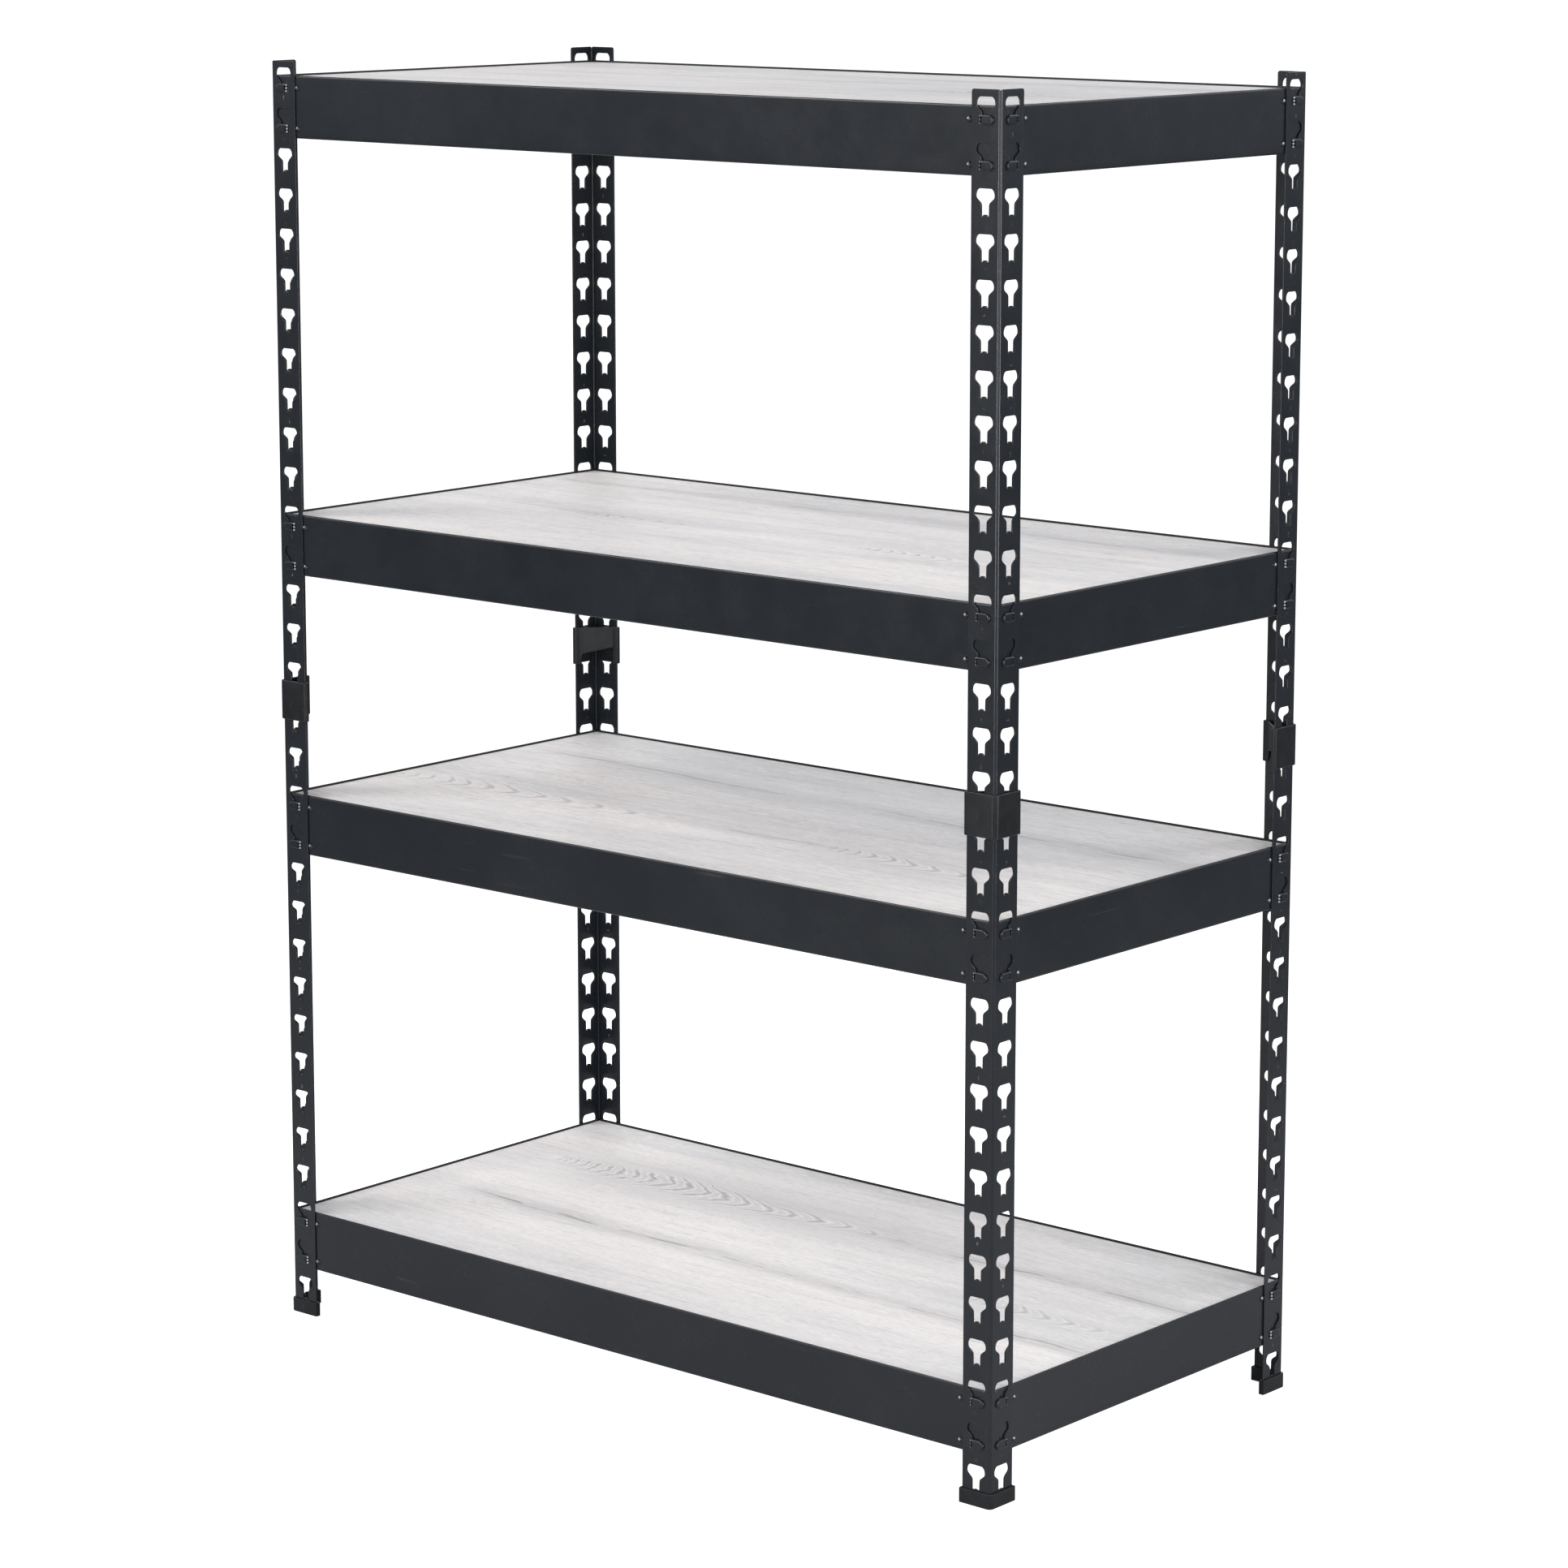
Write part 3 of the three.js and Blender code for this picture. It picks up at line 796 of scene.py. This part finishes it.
class Wood(Recipe):
    """Pale grey oak laminate, its grain along X, on a particle-board core."""

    def __init__(self, level, drift):
        super().__init__(f"laminate_level_{level}")
        self.seed = (level * 3.7 + drift * 1.37, level * 5.3 + drift * 2.11, level * 2.9 + drift * 0.83)
        self.where = self.add("ShaderNodeTexCoord").outputs["Object"]
        split = self.add("ShaderNodeSeparateXYZ")
        self.link(self.where, split.inputs[0])
        self.x, self.y = split.outputs[0], split.outputs[1]
        self.streak = self.grain((6, 85, 1), 5, 0.66, 7.0, 0.5)
        self.fine = self.grain((17, 270, 1), 4, 0.65, 11.0)
        self.wobble = self.math("SUBTRACT", self.grain((4.5, 12, 1), 3, 0.5, 31.0), 0.5)
        self.ripple = self.math("SUBTRACT", self.grain((30, 75, 1), 3, 0.55, 37.0), 0.5)
        self.fibres = self.ramp(self.grain((7, 380, 1), 3, 0.6, 41.0), 0.42, 0.62, 0.45, 1.0)
        self.broken = self.ramp(self.grain((9, 30, 1), 3, 0.6, 43.0), 0.40, 0.60, 0.15, 1.0)

    def grain(self, spread, detail, rough, shift, distortion=0.0):
        """Noise from 0 to 1, with spread waves to the metre along each axis."""
        mapping = self.add("ShaderNodeVectorMath", operation="MULTIPLY_ADD")
        self.link(self.where, mapping.inputs[0])
        mapping.inputs[1].default_value = spread
        mapping.inputs[2].default_value = tuple(value + shift for value in self.seed)
        return self.noise_at(mapping.outputs[0], detail, rough, distortion)

    def times(self, a, b):
        return self.math("MULTIPLY", a, b)

    def streaks(self):
        """The sheet's colour and its pores: broad zones, greyer bands, then finer and finer streaks."""
        zones = self.ramp(self.grain((1.2, 7, 1), 3, 0.5, 0.0, 0.4), 0.34, 0.64)
        bands = self.grain((1.1, 13, 1), 4, 0.55, 3.0, 0.8)
        mottle = self.grain((85, 250, 1), 4, 0.65, 19.0)
        flecks = self.grain((50, 400, 1), 3, 0.6, 13.0)
        pores = self.ramp(self.grain((34, 780, 1), 2, 0.5, 17.0), 0.60, 0.70)
        pores = self.times(pores, self.ramp(self.grain((2.4, 26, 1), 3, 0.5, 23.0), 0.40, 0.62))
        layers = [
            (self.ramp(bands, 0.48, 0.76), 0.36, BAND),
            (self.ramp(self.streak, 0.47, 0.74), 0.30, STREAK),
            (self.ramp(self.fine, 0.50, 0.76), 0.34, FIBRE),
            (self.ramp(self.fine, 0.47, 0.26), 0.30, PALE_FIBRE),
            (self.ramp(mottle, 0.48, 0.70), 0.36, FIBRE),
            (self.ramp(flecks, 0.55, 0.68), 0.60, FLECK),
            (pores, 0.60, PORE),
        ]
        colour = self.mix(zones, COOL_GRAIN, WARM_GRAIN)
        for share, strength, tint in layers:
            colour = self.mix(self.times(share, strength), colour, tint)
        return colour, pores

    def away(self, x0, y0, slope, wander):
        """Distance across the grain from a wandering line along it."""
        centre = self.math("MULTIPLY_ADD", self.math("SUBTRACT", self.x, x0), slope, y0)
        centre = self.math("ADD", centre, self.times(self.wobble, wander))
        return self.math("ABSOLUTE", self.math("SUBTRACT", self.y, centre))

    def figure(self, colour, x0, y0, length, half_width, slope, rings, strength, shade):
        """Nested arcs whose points face +X: close together at the start, drawn out towards the end. A
        painted highlight runs beside the dark arcs.
        """
        run = self.math("DIVIDE", self.math("SUBTRACT", self.x, x0), length)
        side = self.math("DIVIDE", self.away(x0, y0, slope, 0.05), half_width)
        arms = self.times(self.math("POWER", side, 2.0), self.ramp(run, 0.0, 0.9, 0.020, 0.22))
        contour = self.math("MULTIPLY_ADD", self.ripple, 0.045, self.math("ADD", run, arms))
        turns = self.math("POWER", self.math("MAXIMUM", contour, 0.0), 0.62)
        wave = self.math("SINE", self.times(turns, rings * 2 * math.pi))
        dark = self.ramp(wave, 0.55, 1.0)
        # A painted highlight: a pale line beside each dark arc, for an embossed look
        arc_highlight = self.times(self.ramp(wave, -0.75, -0.05), self.ramp(wave, -0.05, 0.35, 1, 0))
        narrow_start = self.ramp(run, 0.0, 0.25, 0.45, 1.0)
        narrow_end = self.ramp(run, 0.45, 1.0, 1.0, 0.35)
        width = self.math("MINIMUM", narrow_start, narrow_end)
        ends = self.times(self.ramp(run, -0.06, 0.04), self.ramp(run, 0.94, 1.08, 1, 0))
        lens = self.times(self.ramp(self.math("SUBTRACT", width, side), -0.25, 0.35), ends)
        around_it = self.times(self.ramp(run, -0.5, 0.3), self.ramp(run, 0.7, 1.5, 1, 0))
        halo = self.times(self.times(self.ramp(side, 0.3, 4.2, 1, 0), around_it), shade)
        patchy = self.ramp(self.streak, 0.30, 0.60, 0.45, 1.0)
        mask = self.times(self.times(self.times(dark, lens), patchy), strength)
        colour = self.mix(halo, colour, FIGURE_SHADE)
        colour = self.mix(self.times(self.times(arc_highlight, lens), strength), colour, FIGURE_HIGHLIGHT)
        return self.mix(mask, colour, FIGURE_DARK), mask

    def line(self, colour, x0, x1, y0, slope, width, strength):
        """A broken dark line with a fainter one beside it and a soft shade round both."""
        fade = 0.15
        along = self.times(self.ramp(self.x, x0, x0 + fade), self.ramp(self.x, x1 - fade, x1, 1, 0))
        off = self.away(x0, y0, slope, 0.035)
        first = self.ramp(off, width * 0.2, width, 1, 0)
        beside = self.math("ABSOLUTE", self.math("SUBTRACT", off, width * 1.9))
        second = self.times(self.ramp(beside, 0.0, width * 0.5, 1, 0), 0.5)
        core = self.times(self.math("MAXIMUM", first, second), self.broken)
        halo = self.times(self.ramp(off, 0.0, width * 7, 0.50, 0), self.fibres)
        band = self.times(self.math("MAXIMUM", core, halo), along)
        colour = self.mix(self.times(band, strength), colour, LINE_DARK)
        return colour, self.times(self.times(core, along), strength)

    def over_core(self, colour):
        """The printed face, with the core showing on the board's sides."""
        face = self.add("ShaderNodeSeparateXYZ")
        self.link(self.add("ShaderNodeTexCoord").outputs["Normal"], face.inputs[0])
        flat = self.ramp(self.math("ABSOLUTE", face.outputs[2]), 0.35, 0.6)
        chips = self.add("ShaderNodeTexVoronoi", feature="F1")
        chips.inputs["Scale"].default_value = CHIPS_PER_METRE
        self.link(self.where, chips.inputs["Vector"])
        core = self.mix(self.ramp(chips.outputs["Distance"], 0.1, 0.7), CORE_DARK, CORE_PALE)
        return self.mix(flat, core, colour)


def board_material(level, figures, lines, painted_level_light, drift):
    wood = Wood(level, drift)
    colour, relief = wood.streaks()
    for figure in figures:
        colour, mask = wood.figure(colour, *figure)
        relief = wood.math("MAXIMUM", relief, mask)
    for line in lines:
        colour, mask = wood.line(colour, *line)
        relief = wood.math("MAXIMUM", relief, mask)
    # Painted light and shade: the same laminate made lighter or darker on each level, for how much light
    # reaches it
    colour = wood.mix(1.0, colour, (painted_level_light, painted_level_light, painted_level_light), "MULTIPLY")
    rough = wood.ramp(wood.streak, 0.3, 0.7, 0.46, 0.60)
    height = wood.math("SUBTRACT", wood.times(wood.fine, 0.5), wood.times(relief, 0.8))
    wood.set(Base_Color=wood.over_core(colour), Roughness=rough, Normal=wood.bump(height, 0.00015, 0.6))
    wood.shader.inputs["Specular IOR Level"].default_value = 0.25
    return wood.material


# ---------------------------------------------------------------- pieces


def piece(name, source, node, body, slot, material, position, turn, seed):
    """One copy of a mesh with its material and its own pattern number, in place of one node of the CAD."""
    mesh = source.copy()
    mesh.name = name
    values = mesh.attributes.new("seed", "FLOAT", "POINT")
    values.data.foreach_set("value", [seed] * len(mesh.vertices))
    mesh.materials.clear()
    mesh.materials.append(material)
    made = bpy.data.objects.new(name, mesh)
    bpy.context.scene.collection.objects.link(made)
    place = Matrix.Translation([c * MM for c in position]) @ Matrix.Rotation(math.radians(turn), 4, "Z")
    made.matrix_world = place
    weigh = made.modifiers.new("normals", "WEIGHTED_NORMAL")
    weigh.keep_sharp = True
    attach(made, body)
    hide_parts(node)
    return made


post_steel = steel_material("coated_steel_posts", True)
beam_steel = steel_material("coated_steel_beams", False)
plastic = plastic_material()

post = post_mesh()
foot = foot_mesh()
coupler = coupler_mesh()
long_beam = beam_mesh(WIDTH, BEAM_END)
side_beam = beam_mesh(DEPTH, SIDE_TRIM)
board = board_mesh()

CORNER_PIECES = [
    ("foot", foot, "lower_frame", "black_plastic", plastic, 0),
    ("lower_post", post, "lower_frame", "coated_steel", post_steel, LOWER_POST_Z),
    ("coupler", coupler, "lower_frame", "black_plastic", plastic, COUPLER_Z),
    ("upper_post", post, "upper_frame", "coated_steel", post_steel, UPPER_POST_Z),
]
for corner_number, (corner, corner_x, corner_y, turn) in enumerate(CORNERS):
    for part_number, (part, mesh, body, slot, material, z) in enumerate(CORNER_PIECES):
        node = f"{corner}_{part}"
        seed = corner_number * 4 + part_number + 1
        position = (corner_x, corner_y, z)
        piece(f"{node}_look", mesh, node, body, slot, material, position, turn, seed)

# Each board's own grain, in metres: figures, lines, painted light per level, and how far its pattern is
# moved.
# A figure is (start x, start y, length, half width, slope, rings, strength, shade).
# A line is (start x, end x, start y, slope, width, strength).
GRAIN = {
    1: (
        [
            (-0.51, 0.118, 0.62, 0.030, 0.00, 20, 0.60, 0.46),
            (0.33, -0.02, 0.26, 0.020, 0.00, 9, 0.4, 0.2),
        ],
        [
            (0.02, 0.70, 0.116, 0.00, 0.0045, 0.75),
            (-0.56, 0.70, -0.078, -0.025, 0.005, 0.8),
        ],
        0.96,
        0,
    ),
    2: (
        [
            (-0.62, -0.105, 0.50, 0.026, 0.02, 13, 0.45, 0.0),
            (0.17, -0.104, 0.28, 0.018, -0.06, 9, 0.6, 0.25),
        ],
        [
            (-0.20, 0.30, -0.096, -0.01, 0.0035, 0.5),
            (-0.62, 0.70, 0.150, -0.035, 0.007, 0.6),
        ],
        1.02,
        8,
    ),
    3: (
        [
            (-0.33, -0.040, 0.22, 0.015, 0.05, 9, 0.5, 0.15),
            (0.16, -0.048, 0.26, 0.016, 0.03, 12, 0.6, 0.1),
        ],
        [
            (-0.70, 0.68, 0.214, -0.02, 0.005, 0.6),
            (-0.50, 0.05, -0.035, 0.04, 0.006, 0.35),
        ],
        1.03,
        0,
    ),
    4: (
        [
            (0.25, -0.05, 0.25, 0.02, 0.0, 9, 0.35, 0.2),
        ],
        [
            (-0.60, 0.50, 0.06, 0.02, 0.005, 0.4),
            (-0.20, 0.68, 0.18, 0.0, 0.005, 0.35),
        ],
        0.93,
        0,
    ),
}
FIRST_BEAM_SEED = 20
BEAMS = [
    ("front_beam", long_beam, 0, -DEPTH / 2, 0),
    ("rear_beam", long_beam, 0, DEPTH / 2, 180),
    ("left_beam", side_beam, -WIDTH / 2, 0, -90),
    ("right_beam", side_beam, WIDTH / 2, 0, 90),
]
for level, post_top, hole in LEVELS:
    bottom = post_top - FIRST_HOLE_TOP - hole * PITCH - LUG_DROP - PITCH - LOWER_LUG
    body = f"level_{level}_beams"
    for beam_number, (side, mesh, x, y, turn) in enumerate(BEAMS):
        node = f"level_{level}_{side}"
        seed = FIRST_BEAM_SEED + level * 4 + beam_number
        piece(f"{node}_look", mesh, node, body, "coated_steel", beam_steel, (x, y, bottom), turn, seed)
    body = f"level_{level}_shelf"
    node = f"level_{level}_board"
    laminate = board_material(level, *GRAIN[level])
    position = (0, 0, bottom + BOARD_Z)
    piece(f"{node}_look", board, node, body, "laminate_board", laminate, position, 0, level)


# ---------------------------------------------------------------- floor, light and camera


FLOOR_HALF_SIZE = 60
FLOOR_DROP = 0.0005
PAPER_NEAR = (0.70, 0.70, 0.70)
PAPER_FAR = (0.22, 0.22, 0.22)
# The studio's light by direction, and where its front is
FRONT_LIGHT = (1.28, 1.30, 1.36)
REAR_LIGHT = (1.26, 1.30, 1.38)
TOP_LIGHT = (0.28, 0.28, 0.28)
FRONT = (-0.66, -0.72, 0.2)
CENTRE = (0, 0, 0.9)
NEAR_POST = (0.61, -0.31, 1.3)
CAMERA_TURN = 40.76
CAMERA_DOWN = 10.03


def make_floor():
    """White paper: it glows only to the camera, and gives less light back far from the shelving."""
    mesh = bpy.data.meshes.new("floor")
    size = FLOOR_HALF_SIZE
    corners = [(-size, -size, 0), (size, -size, 0), (size, size, 0), (-size, size, 0)]
    mesh.from_pydata(corners, [], [(0, 1, 2, 3)])
    made = bpy.data.objects.new("floor", mesh)
    made.location.z = -FLOOR_DROP
    bpy.context.scene.collection.objects.link(made)
    r = Recipe("floor_paper")
    distance = r.add("ShaderNodeVectorMath", operation="LENGTH")
    r.link(r.add("ShaderNodeTexCoord").outputs["Object"], distance.inputs[0])
    far = r.ramp(distance.outputs["Value"], 1.0, 3.5)
    r.feed(r.shader.inputs["Base Color"], r.mix(far, PAPER_NEAR, PAPER_FAR))
    r.shader.inputs["Roughness"].default_value = 0.9
    r.shader.inputs["Specular IOR Level"].default_value = 0.1
    r.shader.inputs["Emission Color"].default_value = (1, 1, 1, 1)
    path = r.add("ShaderNodeLightPath")
    glow = r.ramp(far, 0, 1, 0.90, 1.0)
    r.link(r.math("MULTIPLY", path.outputs["Is Camera Ray"], glow), r.shader.inputs["Emission Strength"])
    mesh.materials.append(r.material)


def make_world():
    """White where the camera sees it. As light it is bright near the horizon and dim overhead."""
    world = bpy.data.worlds.new("studio")
    bpy.context.scene.world = world
    world.use_nodes = True
    tree = world.node_tree
    tree.nodes.clear()

    def add(kind, **options):
        node = tree.nodes.new(kind)
        for key, value in options.items():
            setattr(node, key, value)
        return node

    def ramp(value, low, high):
        node = add("ShaderNodeMapRange", interpolation_type="SMOOTHSTEP")
        tree.links.new(value, node.inputs[0])
        for socket, given in zip(node.inputs[1:5], (low, high, 0.0, 1.0)):
            socket.default_value = given
        return node.outputs[0]

    def mix(share):
        node = add("ShaderNodeMix", data_type="RGBA")
        tree.links.new(share, node.inputs[0])
        return node

    direction = add("ShaderNodeTexCoord").outputs["Generated"]
    split = add("ShaderNodeSeparateXYZ")
    tree.links.new(direction, split.inputs[0])
    towards = add("ShaderNodeVectorMath", operation="DOT_PRODUCT")
    tree.links.new(direction, towards.inputs[0])
    towards.inputs[1].default_value = FRONT
    horizon = mix(ramp(towards.outputs["Value"], -0.6, 1.0))
    horizon.inputs[6].default_value = (*REAR_LIGHT, 1)
    horizon.inputs[7].default_value = (*FRONT_LIGHT, 1)
    sky = mix(ramp(split.outputs[2], 0.0, 0.9))
    tree.links.new(horizon.outputs[2], sky.inputs[6])
    sky.inputs[7].default_value = (*TOP_LIGHT, 1)
    light = add("ShaderNodeBackground")
    tree.links.new(sky.outputs[2], light.inputs[0])
    seen = add("ShaderNodeBackground")
    seen.inputs[0].default_value = (1, 1, 1, 1)
    path = add("ShaderNodeLightPath")
    choice = add("ShaderNodeMixShader")
    tree.links.new(path.outputs["Is Camera Ray"], choice.inputs[0])
    tree.links.new(light.outputs[0], choice.inputs[1])
    tree.links.new(seen.outputs[0], choice.inputs[2])
    tree.links.new(choice.outputs[0], add("ShaderNodeOutputWorld").inputs[0])


def area_light(name, location, target, size, power, colour=(1, 1, 1)):
    data = bpy.data.lights.new(name, "AREA")
    data.shape = "RECTANGLE"
    data.size, data.size_y = size
    data.energy = power
    data.color = colour
    light = bpy.data.objects.new(name, data)
    light.location = location
    aim = Vector(target) - Vector(location)
    light.rotation_euler = aim.to_track_quat("-Z", "Y").to_euler()
    light.visible_camera = False
    bpy.context.scene.collection.objects.link(light)


make_floor()
make_world()
area_light("key", (-3.1, -3.4, 4.5), CENTRE, (2.6, 2.0), 130, (1.0, 0.985, 0.97))
area_light("rear_top", (3.0, 3.5, 4.7), CENTRE, (2.6, 2.0), 70)
area_light("front_strip", (-0.97, -5.47, 1.35), NEAR_POST, (0.9, 2.5), 185)
area_light("side_strip", (5.94, 0.53, 1.35), NEAR_POST, (0.9, 2.5), 215)
area_light("broad_fill", (5.7, -6.2, 1.5), NEAR_POST, (4.0, 2.4), 220)

camera_data = bpy.data.cameras.new("camera")
camera_data.sensor_width = 36
camera_data.lens = 107.76
camera_data.shift_y = -0.06
camera = bpy.data.objects.new("camera", camera_data)
camera.location = (3.961, -4.578, 1.967)
camera.rotation_euler = (math.radians(90 - CAMERA_DOWN), 0, math.radians(CAMERA_TURN))
bpy.context.scene.collection.objects.link(camera)
bpy.context.scene.camera = camera
bpy.context.scene.view_settings.view_transform = "Standard"
